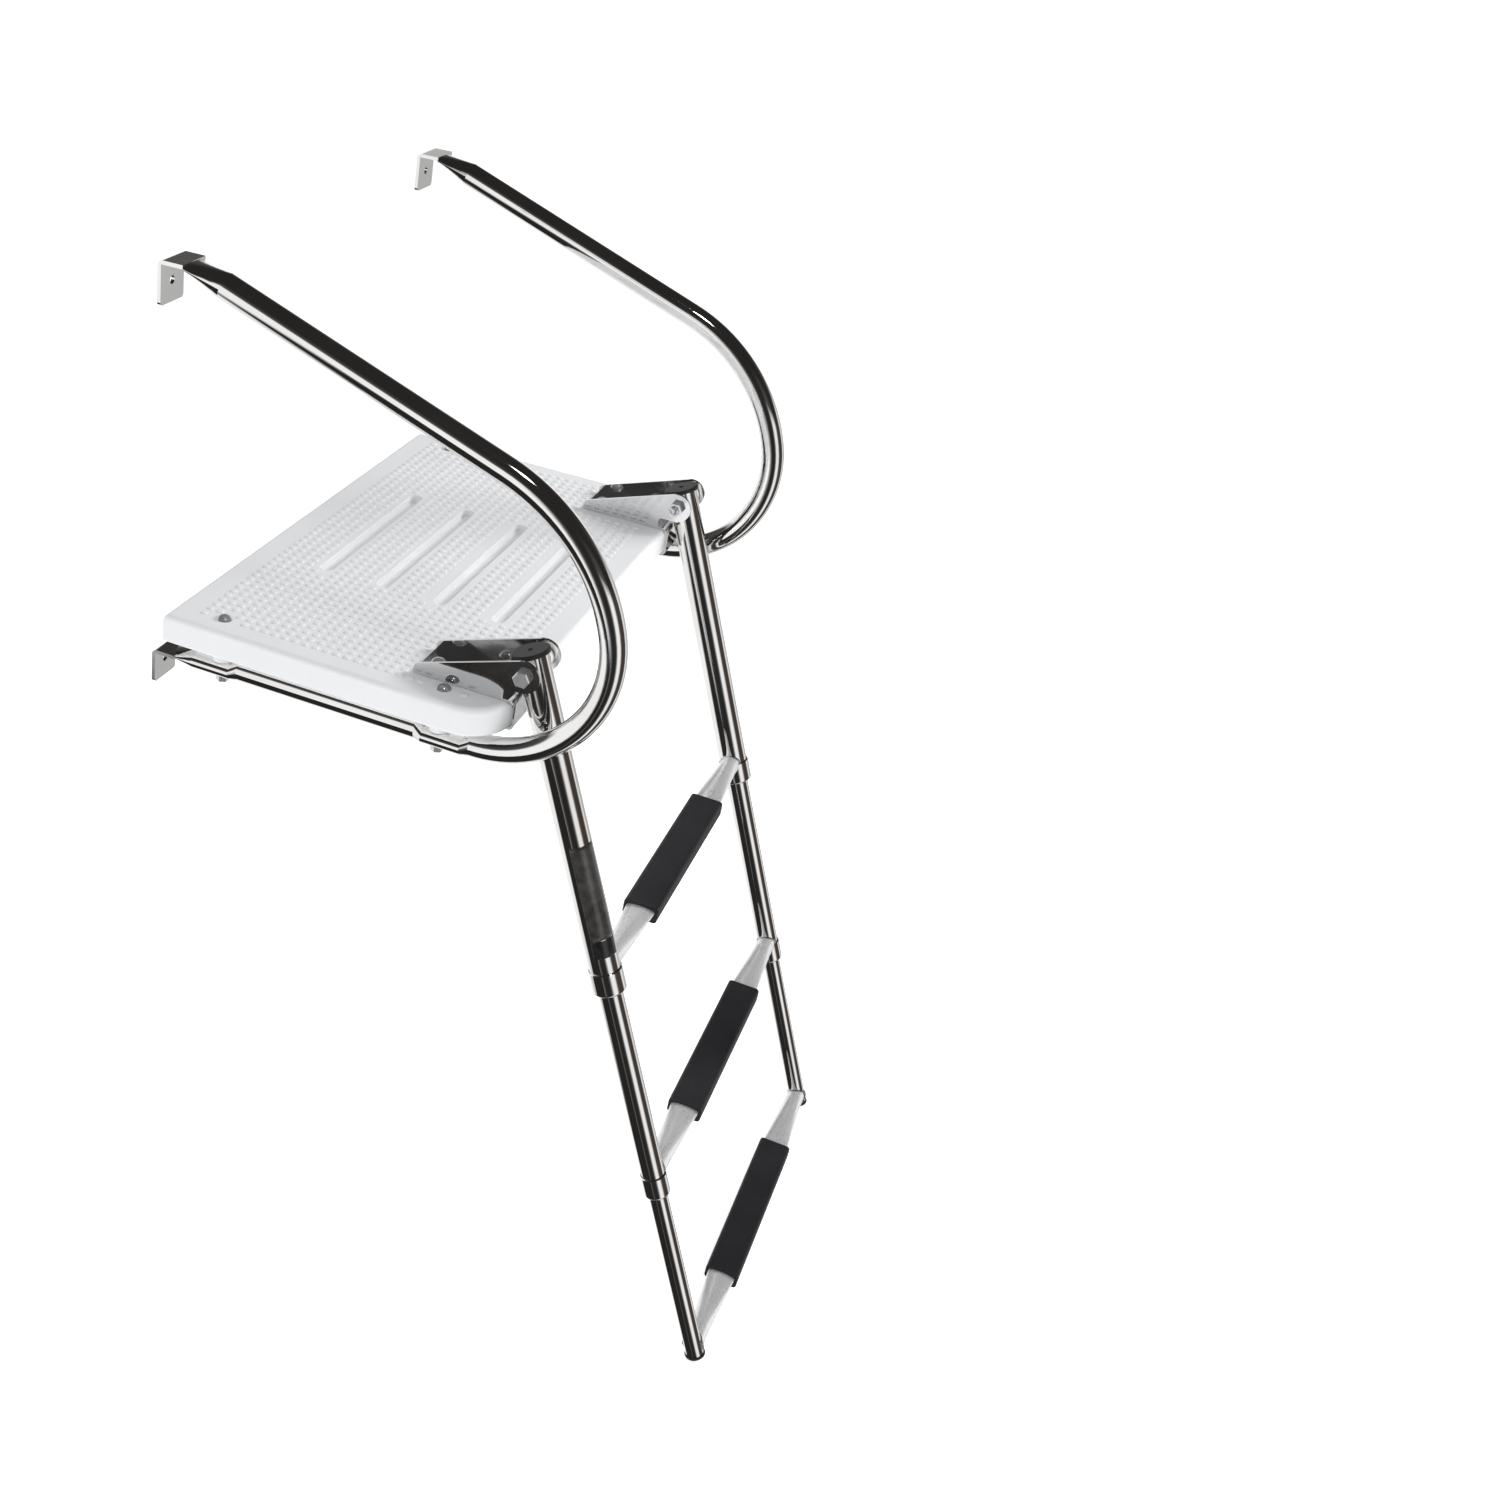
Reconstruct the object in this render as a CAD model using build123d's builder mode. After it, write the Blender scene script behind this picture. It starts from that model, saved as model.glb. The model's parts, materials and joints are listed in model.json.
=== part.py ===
"""Boat boarding ladder: a moulded swim platform on two bent grab rails, with a fold-up telescoping ladder.

Millimetres. +X is starboard, +Y is forward into the boat's transom, +Z is up.
The origin is the centre of the four transom screw holes, on the transom's face.
"""

from build123d import *
from math import atan2, cos, radians, sin, sqrt, tan
import os

os.makedirs("parts", exist_ok=True)

# ---------------------------------------------------------------- sizes
SIDES = {"port": -1, "starboard": 1}

# transom tabs
TAB_SPACING_X = 460.0
TAB_SPACING_Z = 330.0
TAB_WIDTH = 33.0
TAB_PLATE = 3.2
TAB_HOLE_D = 7.0
TAB_EDGE = 17.0  # from a tab's hole to its lower edge, and to its bend

# board
BOARD_WIDTH = 505.0
BOARD_DEPTH = 303.0
BOARD_THICK = 26.0
BOARD_GAP = 14.0  # between the transom and the board's forward edge
BOARD_TOP = -110.0
BOARD_AFT_R = 40.0
BOARD_FWD_R = 10.0
BOARD_TOP_R = 5.0
BOARD_BOTTOM_R = 3.0
BOARD_WALL = 4.0
GROOVE_LENGTH = 200.0
GROOVE_WIDTH = 13.0
GROOVE_DEPTH = 8.0
GROOVE_COUNT = 4
GROOVE_PITCH = 56.0
GROOVE_FIRST = 71.0  # from the board's forward edge to the first groove
BOSS_R = 10.0

# rails
RAIL_D = 22.0
RAIL_WALL = 1.5
RAIL_DROP = 16.0  # from the board's underside down to the lower run's axis
RAIL_TOP_SLOPE = 19.25
RAIL_LOWER_BEND = 103.0
RAIL_LOWER_ANGLE = 106.6
RAIL_UPPER_BEND = 160.0
SEAT_THICK = 14.4
SEAT_HALF_WIDTH = 13.0
SEAT_HALF_HEIGHT = 8.6  # of the pressed oval, before its flats
SEAT_SINK = 2.6  # the pressed oval's axis below the round tube's
SEAT_PAST_BOSS = 1.0  # a seat's flat beyond the board's boss, and the aft seat's end before the bend
SEAT_TAPER = 7.0
FWD_SEAT_START = 20.0  # from the tab's bend to the forward seat
TIP_TAPER = 36.0  # where the round tube runs out into a tab
FWD_BOLT_Y = -60.0
AFT_BOLT_Y = -262.0

# fasteners
M6 = 6.0
M8 = 8.0
HOLE_CLEAR = 0.4  # on diameter
DOME_D = 12.0
DOME_H = 4.2
WASHER_D = 12.6
WASHER_T = 1.4
NUT_AF = 10.0
NUT_H = 5.0
NUT_DOME_R = 4.2
PIVOT_HEAD_AF = 13.0
PIVOT_HEAD_H = 5.4
PIVOT_NUT_H = 6.5
PIVOT_NUT_DOME_R = 5.6

# hinge brackets
BRACKET_WIDTH = 48.0
BRACKET_SHEET = 2.5
BRACKET_TIP_Y = -231.0
EAR_TIP_H = 9.0
EAR_NOTCH_Y = -309.0
EAR_NOSE_R = 14.0
BRACKET_LIP = 17.0
FLANGE_WIDTH = 34.0  # of the part that turns down over the board's aft edge
FLANGE_START = 3.0  # below the board's top
BRACKET_CORNER_R = 6.5
SCREW_YS = (-243.0, -286.0)

# ladder
STILE_SPACING = 396.0
PIVOT_BEHIND = 7.4  # pivot aft of the board's aft edge
PIVOT_ABOVE = 26.0  # pivot above the board's top
LADDER_TILT = 21.2
FIRST_TREAD = 284.0  # along the stile, from the pivot
SECOND_PITCH = 221.0  # top tread to middle tread
THIRD_PITCH = 204.0  # middle tread to bottom tread
OUTER_D = 28.0
OUTER_WALL = 1.5
MIDDLE_D = 22.0
MIDDLE_WALL = 1.2
LOWER_D = 18.0
LOWER_WALL = 1.2
COLLAR_LENGTH = 23.0
COLLAR_STEP = 1.3  # collar's radius over its tube's
COLLAR_EDGE_R = 2.5
SPIGOT_LENGTH = 12.0
RUNNING = 0.08  # radial clearance of sliding and turning fits
GUIDE_LENGTH = 20.0
GUIDE_LAP = 0.5  # guide above the spigot when pulled out
FOOT_BELOW = 13.0  # foot below the lowest tread's axis
TUBE_ABOVE = 10.5  # tube end above the pivot
CAP_D = 32.6
CAP_T = 3.5
CAP_PLUG = 4.0
FOOT_PLUG_T = 3.0
FOOT_PLUG_STEP = 0.9
FOOT_PLUG_LENGTH = 12.0
BUSH_D = 11.0
BUSH_COLLAR_D = 18.0
PIVOT_WASHER_T = 0.9
PIVOT_WASHER_D = 18.0
SIDE_PLAY = 0.3

# treads
TREAD_D = 19.0
TREAD_WALL = 1.2
TREAD_HALF_WIDTH = 13.4  # flattened middle
TREAD_HALF_HEIGHT = 3.2
TREAD_ROUND_END = 24.0  # from the stile's axis to where the flattening starts
TREAD_COPE = 4.0
PAD_LENGTH = 204.0
PAD_DEPTH = 33.0
PAD_THICK = 17.0
PAD_EDGE_R = 3.6
PAD_SKIN = 2.8  # over the flattened tube
PAD_LIP = 2.6
PAD_SLOT = 17.0
PAD_GROOVES = (3.6, -1.2)  # up from the middle of the pad's two long edges
PAD_GROOVE_CUT = 0.8
PAD_GROOVE_WIDTH = 1.3

# strap
STRAP_WIDTH = 25.0
STRAP_THICK = 1.8
STRAP_DROP = 118.0
STRAP_Y = -165.0
STRAP_GAP = 0.4

# ---------------------------------------------------------------- places
RAIL_X = TAB_SPACING_X / 2
STILE_X = STILE_SPACING / 2
UPPER_HOLE_Z = TAB_SPACING_Z / 2
LOWER_HOLE_Z = -TAB_SPACING_Z / 2
BOARD_BOTTOM = BOARD_TOP - BOARD_THICK
BOARD_FWD = -BOARD_GAP
BOARD_AFT = BOARD_FWD - BOARD_DEPTH
BOARD_MID = (BOARD_FWD + BOARD_AFT) / 2
RAIL_R = RAIL_D / 2
RAIL_Z = BOARD_BOTTOM - RAIL_DROP
SEAT_Z = RAIL_Z - SEAT_SINK
SEAT_TOP = SEAT_Z + SEAT_THICK / 2
SEAT_BOTTOM = SEAT_Z - SEAT_THICK / 2
TIP_Y = -16.0
TIP_Z = UPPER_HOLE_Z + TAB_EDGE
PIVOT_Y = BOARD_AFT - PIVOT_BEHIND
PIVOT_Z = BOARD_TOP + PIVOT_ABOVE
TILT = radians(LADDER_TILT)
LADDER = Plane(origin=(0, PIVOT_Y, PIVOT_Z), x_dir=(1, 0, 0), z_dir=(0, sin(TILT), cos(TILT)))
STILE_LINE = Axis((0, 0, 0), LADDER.z_dir)
OUTER_R = OUTER_D / 2
MIDDLE_R = MIDDLE_D / 2
LOWER_R = LOWER_D / 2
TREAD_R = TREAD_D / 2
RING_1 = -FIRST_TREAD
RING_2 = RING_1 - SECOND_PITCH
TREAD_3 = RING_2 - THIRD_PITCH
FOOT = TREAD_3 - FOOT_BELOW
EAR_GAP = BRACKET_WIDTH / 2 - BRACKET_SHEET
WEB_TOP = BOARD_TOP + BRACKET_SHEET
RAIL_BOLTS = [(s * RAIL_X, y) for s in (-1, 1) for y in (FWD_BOLT_Y, AFT_BOLT_Y)]
SCREWS = [(s * STILE_X, y) for s in (-1, 1) for y in SCREW_YS]
UP = (Align.CENTER, Align.CENTER, Align.MIN)
DOWN = (Align.CENTER, Align.CENTER, Align.MAX)


def save(part, name):
    """Labels one sub-part and writes its file."""
    part.label = name
    export_step(part, f"parts/{name}.step")


def tread_place(depth):
    """Y and Z of a point on the ladder's stile line, at this distance above the pivot."""
    return PIVOT_Y + depth * sin(TILT), PIVOT_Z + depth * cos(TILT)


def across(x, y, z):
    """A section plane facing +X, with its own x along +Y and its y along +Z."""
    return Plane(origin=(x, y, z), x_dir=(0, 1, 0), z_dir=(1, 0, 0))


def along(x, y, z=RAIL_Z):
    """A section plane facing +Y, with its own x along -X and its y along +Z."""
    return Plane(origin=(x, y, z), x_dir=(-1, 0, 0), z_dir=(0, 1, 0))


def x_edges(part, y, z):
    """A part's straight edges along X that pass through this Y and Z."""
    return part.edges().filter_by(Axis.X).filter_by(
        lambda e: abs(e.center().Y - y) < 0.05 and abs(e.center().Z - z) < 0.05)


def board_outline(inset=0.0):
    """The board's plan shape, in a sketch."""
    with Locations((0, BOARD_MID)):
        plate = Rectangle(BOARD_WIDTH - 2 * inset, BOARD_DEPTH - 2 * inset)
    ends = plate.vertices().sort_by(Axis.Y)
    fillet(ends[:2], BOARD_AFT_R - inset)
    fillet(ends[2:], BOARD_FWD_R - inset)


# ---------------------------------------------------------------- platform board
with BuildPart() as board_core:
    with BuildSketch(Plane.XY.offset(BOARD_TOP - BOARD_WALL)):
        board_outline(BOARD_WALL)
    extrude(amount=-(BOARD_THICK - 2 * BOARD_WALL))
    fillet(board_core.edges().group_by(Axis.Z)[-1], 2.0)
    with BuildSketch(Plane.XY.offset(BOARD_TOP)):
        with Locations(*[(0, BOARD_FWD - GROOVE_FIRST - i * GROOVE_PITCH) for i in range(GROOVE_COUNT)]):
            SlotOverall(GROOVE_LENGTH + 2 * BOARD_WALL, GROOVE_WIDTH + 2 * BOARD_WALL)
    extrude(amount=-(GROOVE_DEPTH + BOARD_WALL), mode=Mode.SUBTRACT)
    with Locations(*[(x, y, BOARD_TOP) for x, y in RAIL_BOLTS + SCREWS]):
        Cylinder(BOSS_R, BOARD_THICK, align=DOWN, mode=Mode.SUBTRACT)

with BuildPart() as platform_board:
    with BuildSketch(Plane.XY.offset(BOARD_TOP)):
        board_outline()
    extrude(amount=-BOARD_THICK)
    fillet(platform_board.edges().group_by(Axis.Z)[-1], BOARD_TOP_R)
    fillet(platform_board.edges().group_by(Axis.Z)[0], BOARD_BOTTOM_R)
    with BuildSketch(Plane.XY.offset(BOARD_TOP)):
        with Locations(*[(0, BOARD_FWD - GROOVE_FIRST - i * GROOVE_PITCH) for i in range(GROOVE_COUNT)]):
            SlotOverall(GROOVE_LENGTH, GROOVE_WIDTH)
    extrude(amount=-GROOVE_DEPTH, mode=Mode.SUBTRACT)
    fillet(platform_board.edges().filter_by_position(Axis.Z, BOARD_TOP - GROOVE_DEPTH - 0.01,
                                                     BOARD_TOP - GROOVE_DEPTH + 0.01), 3.0)
    with Locations(*[(x, y, BOARD_BOTTOM + 0.5) for x, y in RAIL_BOLTS]):
        Cylinder(BOSS_R, BOARD_BOTTOM + 0.5 - SEAT_TOP, align=DOWN)
    add(board_core.part, mode=Mode.SUBTRACT)
    with Locations(*[(x, y, BOARD_TOP) for x, y in RAIL_BOLTS + SCREWS]):
        Cylinder((M6 + HOLE_CLEAR) / 2, BOARD_TOP - SEAT_TOP, align=DOWN, mode=Mode.SUBTRACT)
save(platform_board.part, "platform_board")

# ---------------------------------------------------------------- rails
slope = radians(RAIL_TOP_SLOPE)
turn_1 = radians(RAIL_LOWER_ANGLE)
turn_2 = radians(180 - RAIL_TOP_SLOPE)
bend_top_z = RAIL_Z + RAIL_LOWER_BEND * (1 - cos(turn_1)) + RAIL_UPPER_BEND * (cos(turn_1) - cos(turn_2))
bend_top_y = TIP_Y - (TIP_Z - bend_top_z) / tan(slope)
BEND_Y = bend_top_y + (RAIL_LOWER_BEND - RAIL_UPPER_BEND) * sin(turn_1) + RAIL_UPPER_BEND * sin(turn_2)
round_end = (TIP_Y - TIP_TAPER * cos(slope), TIP_Z - TIP_TAPER * sin(slope))
FWD_SEAT = (TIP_Y - FWD_SEAT_START, FWD_BOLT_Y - BOSS_R - SEAT_PAST_BOSS)
AFT_SEAT = (AFT_BOLT_Y + BOSS_R + SEAT_PAST_BOSS, BEND_Y + SEAT_TAPER + SEAT_PAST_BOSS)


def rail_body(x, radius, half_width, half_height, tip_width, tip_height):
    """One rail's skin or bore: round runs and bends, pressed seats and tapered ends."""
    with BuildPart() as body:
        with BuildLine(Plane.YZ.offset(x)):
            run = Line((AFT_SEAT[1] - SEAT_TAPER, RAIL_Z), (BEND_Y, RAIL_Z))
            low = JernArc(start=run @ 1, tangent=run % 1, radius=RAIL_LOWER_BEND, arc_size=-RAIL_LOWER_ANGLE)
            high = JernArc(start=low @ 1, tangent=low % 1, radius=RAIL_UPPER_BEND,
                           arc_size=-(180 - RAIL_TOP_SLOPE - RAIL_LOWER_ANGLE))
            Line(high @ 1, round_end)
        with BuildSketch(along(x, AFT_SEAT[1] - SEAT_TAPER)):
            Circle(radius)
        sweep()
        with BuildSketch(along(x, AFT_SEAT[0] + SEAT_TAPER)):
            Circle(radius)
        extrude(amount=FWD_SEAT[1] - SEAT_TAPER - AFT_SEAT[0] - SEAT_TAPER)
        for (y_from, y_to) in ((AFT_SEAT[1] - SEAT_TAPER, AFT_SEAT[1]), (AFT_SEAT[0] + SEAT_TAPER, AFT_SEAT[0]),
                               (FWD_SEAT[1] - SEAT_TAPER, FWD_SEAT[1])):
            with BuildSketch(along(x, y_from)):
                Circle(radius)
            with BuildSketch(along(x, y_to, SEAT_Z)):
                Ellipse(half_width, half_height)
            loft()
        for (y_aft, y_fwd) in ((AFT_SEAT[1], AFT_SEAT[0]), (FWD_SEAT[1], FWD_SEAT[0])):
            with BuildSketch(along(x, y_aft, SEAT_Z)):
                Ellipse(half_width, half_height)
            extrude(amount=y_fwd - y_aft)
        if tip_height:
            with BuildSketch(along(x, FWD_SEAT[0], SEAT_Z)):
                Ellipse(half_width, half_height)
            with BuildSketch(along(x, TIP_Y)):
                Ellipse(tip_width, tip_height)
            loft()
            top = Plane(origin=(x, *round_end), x_dir=(-1, 0, 0), z_dir=(0, cos(slope), sin(slope)))
            with BuildSketch(top):
                Circle(radius)
            with BuildSketch(along(x, TIP_Y, TIP_Z)):
                Ellipse(tip_width, tip_height)
            loft()
    return body.part


for side, sign in SIDES.items():
    bore = rail_body(sign * RAIL_X, RAIL_R - RAIL_WALL, SEAT_HALF_WIDTH - RAIL_WALL,
                     SEAT_HALF_HEIGHT - RAIL_WALL * 2, 0, 0)
    skin = rail_body(sign * RAIL_X, RAIL_R, SEAT_HALF_WIDTH, SEAT_HALF_HEIGHT, TAB_WIDTH / 2, TAB_PLATE / 2)
    with BuildPart() as rail:
        add(skin)
        for y_aft, y_fwd in ((AFT_SEAT[1], AFT_SEAT[0]), (FWD_SEAT[1], FWD_SEAT[0])):
            with Locations((sign * RAIL_X, (y_aft + y_fwd) / 2, SEAT_TOP)):
                Box(40, y_fwd - y_aft, 10, align=UP, mode=Mode.SUBTRACT)
            with Locations((sign * RAIL_X, (y_aft + y_fwd) / 2, SEAT_BOTTOM)):
                Box(40, y_fwd - y_aft, 10, align=DOWN, mode=Mode.SUBTRACT)
        add(bore, mode=Mode.SUBTRACT)
        for hole_z, plate_z in ((UPPER_HOLE_Z, TIP_Z), (LOWER_HOLE_Z, RAIL_Z)):
            with BuildSketch(Plane.YZ.offset(sign * RAIL_X - TAB_WIDTH / 2)):
                with BuildLine():
                    top = plate_z + TAB_PLATE / 2
                    Polyline((TIP_Y - 6, top), (0, top), (0, hole_z - TAB_EDGE), (-TAB_PLATE, hole_z - TAB_EDGE),
                             (-TAB_PLATE, top - TAB_PLATE), (TIP_Y - 6, top - TAB_PLATE), close=True)
                make_face()
            extrude(amount=TAB_WIDTH)
            fillet(x_edges(rail, 0, top), 4.5)
            with Locations(Location((sign * RAIL_X, 0, hole_z), (90, 0, 0))):
                Cylinder(TAB_HOLE_D / 2, TAB_PLATE * 3, mode=Mode.SUBTRACT)
        for y in (FWD_BOLT_Y, AFT_BOLT_Y):
            with Locations((sign * RAIL_X, y, RAIL_Z)):
                Cylinder((M6 + HOLE_CLEAR) / 2, SEAT_THICK * 2, mode=Mode.SUBTRACT)
        tab_corners = rail.edges().filter_by(Axis.Y).filter_by(
            lambda e: abs(e.center().Y + TAB_PLATE / 2) < 0.1
            and min(abs(e.center().Z - z + TAB_EDGE) for z in (UPPER_HOLE_Z, LOWER_HOLE_Z)) < 0.1)
        fillet(tab_corners, 3.0)
    save(rail.part, f"{side}_rail")

# ---------------------------------------------------------------- through bolts of the rails and brackets


def bolt_set(places, seat, under, names):
    """Domed bolts down through a stack, from seat to under, with washers and acorn nuts."""
    with BuildPart() as bolts:
        with Locations(*[(x, y, seat) for x, y in places]):
            Cylinder(DOME_D / 2, 1.2, align=UP)
        with Locations(*[(x, y, seat + 1.2 - (DOME_D / 2) ** 2 / (2 * (DOME_H - 1.2)) + (DOME_H - 1.2) / 2)
                         for x, y in places]):
            Sphere((DOME_D / 2) ** 2 / (2 * (DOME_H - 1.2)) + (DOME_H - 1.2) / 2)
        with Locations(*[(x, y, seat) for x, y in places]):
            Box(40, 40, 40, align=DOWN, mode=Mode.SUBTRACT)
            Cylinder(M6 / 2, seat - under + WASHER_T + NUT_H, align=DOWN)
    with BuildPart() as washers:
        with Locations(*[(x, y, under) for x, y in places]):
            Cylinder(WASHER_D / 2, WASHER_T, align=DOWN)
            Cylinder((M6 + HOLE_CLEAR) / 2, WASHER_T, align=DOWN, mode=Mode.SUBTRACT)
    with BuildPart() as nuts:
        with BuildSketch(*[Plane(origin=(x, y, under - WASHER_T)) for x, y in places]):
            RegularPolygon(NUT_AF / 2, 6, major_radius=False)
        extrude(amount=-NUT_H)
        with Locations(*[(x, y, under - WASHER_T - NUT_H) for x, y in places]):
            Sphere(NUT_DOME_R, arc_size1=-90, arc_size2=0)
        with Locations(*[(x, y, under - WASHER_T) for x, y in places]):
            Cylinder(M6 / 2, NUT_H, align=DOWN, mode=Mode.SUBTRACT)
    for part, name in zip((bolts.part, washers.part, nuts.part), names):
        save(part, name)


bolt_set(RAIL_BOLTS, BOARD_TOP, SEAT_BOTTOM, ("rail_bolts", "rail_washers", "rail_nuts"))
bolt_set(SCREWS, WEB_TOP, BOARD_BOTTOM, ("bracket_screws", "bracket_washers", "bracket_nuts"))

# ---------------------------------------------------------------- hinge brackets
ear_tip = (BRACKET_TIP_Y, BOARD_TOP + EAR_TIP_H)
reach = (ear_tip[0] - PIVOT_Y, ear_tip[1] - PIVOT_Z)
span = sqrt(reach[0] ** 2 + reach[1] ** 2)
lean = atan2(reach[1], reach[0]) + atan2(sqrt(span ** 2 - EAR_NOSE_R ** 2), EAR_NOSE_R)
ear_touch = (PIVOT_Y + EAR_NOSE_R * cos(lean), PIVOT_Z + EAR_NOSE_R * sin(lean))

for side, sign in SIDES.items():
    with BuildPart() as bracket:
        with BuildSketch(Plane.YZ.offset(sign * STILE_X - BRACKET_WIDTH / 2)):
            with BuildLine():
                Polyline((BRACKET_TIP_Y, BOARD_TOP), (BRACKET_TIP_Y, WEB_TOP),
                         (BOARD_AFT - BRACKET_SHEET, WEB_TOP),
                         (BOARD_AFT - BRACKET_SHEET, BOARD_BOTTOM - BRACKET_SHEET),
                         (BOARD_AFT + BRACKET_LIP, BOARD_BOTTOM - BRACKET_SHEET),
                         (BOARD_AFT + BRACKET_LIP, BOARD_BOTTOM), (BOARD_AFT, BOARD_BOTTOM),
                         (BOARD_AFT, BOARD_TOP), close=True)
            make_face()
        extrude(amount=BRACKET_WIDTH)
        fillet(x_edges(bracket, BOARD_AFT - BRACKET_SHEET, WEB_TOP), BRACKET_CORNER_R)
        fillet(x_edges(bracket, BOARD_AFT, BOARD_TOP), BRACKET_CORNER_R - BRACKET_SHEET)
        fillet(x_edges(bracket, BOARD_AFT - BRACKET_SHEET, BOARD_BOTTOM - BRACKET_SHEET), BRACKET_SHEET + 1.5)
        fillet(x_edges(bracket, BOARD_AFT, BOARD_BOTTOM), 1.5)
        for side_x in (-1, 1):
            with Locations((sign * STILE_X + side_x * FLANGE_WIDTH / 2, BOARD_AFT, BOARD_TOP - FLANGE_START)):
                Box(BRACKET_WIDTH, 4 * BRACKET_LIP, 2 * BOARD_THICK,
                    align=(Align.MIN if side_x > 0 else Align.MAX, Align.CENTER, Align.MAX), mode=Mode.SUBTRACT)
        for x in (sign * STILE_X - BRACKET_WIDTH / 2, sign * STILE_X + EAR_GAP):
            with BuildSketch(Plane.YZ.offset(x)):
                with BuildLine():
                    Polyline((BRACKET_TIP_Y, BOARD_TOP), ear_tip, ear_touch, (PIVOT_Y, PIVOT_Z),
                             (PIVOT_Y, PIVOT_Z - EAR_NOSE_R), (EAR_NOTCH_Y - 2, PIVOT_Z - EAR_NOSE_R),
                             (EAR_NOTCH_Y, PIVOT_Z - EAR_NOSE_R - 2), (EAR_NOTCH_Y, BOARD_TOP), close=True)
                make_face()
                with Locations((PIVOT_Y, PIVOT_Z)):
                    Circle(EAR_NOSE_R)
                    Circle((M8 + HOLE_CLEAR) / 2, mode=Mode.SUBTRACT)
            extrude(amount=BRACKET_SHEET)
        with Locations(*[(sign * STILE_X, y, BOARD_TOP) for y in SCREW_YS]):
            Cylinder((M6 + HOLE_CLEAR) / 2, BRACKET_SHEET * 4, mode=Mode.SUBTRACT)
        fillet(x_edges(bracket, *ear_tip), 4.0)
        folds = bracket.edges().filter_by(Axis.Y).filter_by(
            lambda e: abs(e.center().Z - BOARD_TOP) < 0.01 and abs(abs(e.center().X - sign * STILE_X)
                                                                   - BRACKET_WIDTH / 2) < 0.01)
        fillet(folds, 2.0)
    save(bracket.part, f"{side}_hinge_bracket")

# ---------------------------------------------------------------- hinge pivots
for side, sign in SIDES.items():
    centre = (sign * STILE_X, PIVOT_Y, PIVOT_Z)
    out = Plane(origin=centre, x_dir=(0, 1, 0), z_dir=(sign, 0, 0))
    half = BRACKET_WIDTH / 2
    with BuildPart(out) as pivot_bolt:
        with BuildSketch(out.offset(half)):
            RegularPolygon(PIVOT_HEAD_AF / 2, 6, major_radius=False)
        extrude(amount=PIVOT_HEAD_H)
        chamfer(pivot_bolt.faces().sort_by(Axis.X)[-1 if sign > 0 else 0].edges(), 0.8)
        with Locations((0, 0, half)):
            Cylinder(M8 / 2, 2 * half + PIVOT_NUT_H, align=DOWN)
    save(pivot_bolt.part, f"{side}_pivot_bolt")
    with BuildPart(out) as pivot_nut:
        with BuildSketch(out.offset(-half)):
            RegularPolygon(PIVOT_HEAD_AF / 2, 6, major_radius=False)
        extrude(amount=-PIVOT_NUT_H)
        with Locations((0, 0, -half - PIVOT_NUT_H)):
            Sphere(PIVOT_NUT_DOME_R, arc_size1=-90, arc_size2=0)
        with Locations((0, 0, -half)):
            Cylinder(M8 / 2, PIVOT_NUT_H, align=DOWN, mode=Mode.SUBTRACT)
    save(pivot_nut.part, f"{side}_pivot_nut")

with BuildPart() as pivot_washers:
    for sign in SIDES.values():
        for inner in (-EAR_GAP, EAR_GAP - PIVOT_WASHER_T):
            with BuildSketch(Plane.YZ.offset(sign * STILE_X + inner)):
                with Locations((PIVOT_Y, PIVOT_Z)):
                    Circle(PIVOT_WASHER_D / 2)
                    Circle((M8 + HOLE_CLEAR) / 2, mode=Mode.SUBTRACT)
            extrude(amount=PIVOT_WASHER_T)
save(pivot_washers.part, "pivot_washers")

# ---------------------------------------------------------------- retaining strap
strap_r = RAIL_R + STRAP_GAP
with BuildPart() as retaining_strap:
    with BuildSketch(Plane(origin=(RAIL_X, STRAP_Y - STRAP_WIDTH / 2, RAIL_Z), x_dir=(-1, 0, 0), z_dir=(0, 1, 0))):
        with Locations((0, -STRAP_DROP / 2)):
            SlotCenterToCenter(STRAP_DROP, 2 * (strap_r + STRAP_THICK), rotation=90)
            SlotCenterToCenter(STRAP_DROP, 2 * strap_r, rotation=90, mode=Mode.SUBTRACT)
    extrude(amount=STRAP_WIDTH)
save(retaining_strap.part, "retaining_strap")

# ---------------------------------------------------------------- stiles
SPIGOT_1 = RING_1 + SPIGOT_LENGTH
SPIGOT_2 = RING_2 + SPIGOT_LENGTH
MIDDLE_TOP = SPIGOT_1 + GUIDE_LAP + GUIDE_LENGTH
LOWER_TOP = SPIGOT_2 + GUIDE_LAP + GUIDE_LENGTH


def tube(x, top, bottom, outer_r, wall):
    """A plain tube along the stile."""
    with BuildPart(LADDER) as pipe:
        with Locations((x, 0, bottom)):
            Cylinder(outer_r, top - bottom, align=UP)
            Cylinder(outer_r - wall, top - bottom, align=UP, mode=Mode.SUBTRACT)
    return pipe.part


def collar(x, ring, tube_r, wall, inner_r):
    """A collar on a tube's lower end: a cup below the ring and a spigot up inside the tube."""
    with BuildPart(LADDER) as cup:
        with Locations((x, 0, ring)):
            Cylinder(tube_r + COLLAR_STEP, COLLAR_LENGTH, align=DOWN)
        fillet(cup.edges().group_by(STILE_LINE)[0], COLLAR_EDGE_R)
        chamfer(cup.edges().group_by(STILE_LINE)[-1], COLLAR_STEP * 0.6)
        with Locations((x, 0, ring)):
            Cylinder(tube_r - wall, SPIGOT_LENGTH, align=UP)
        with Locations((x, 0, ring - COLLAR_LENGTH)):
            Cylinder(inner_r + RUNNING, COLLAR_LENGTH + SPIGOT_LENGTH, align=UP, mode=Mode.SUBTRACT)
    return cup.part


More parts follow.
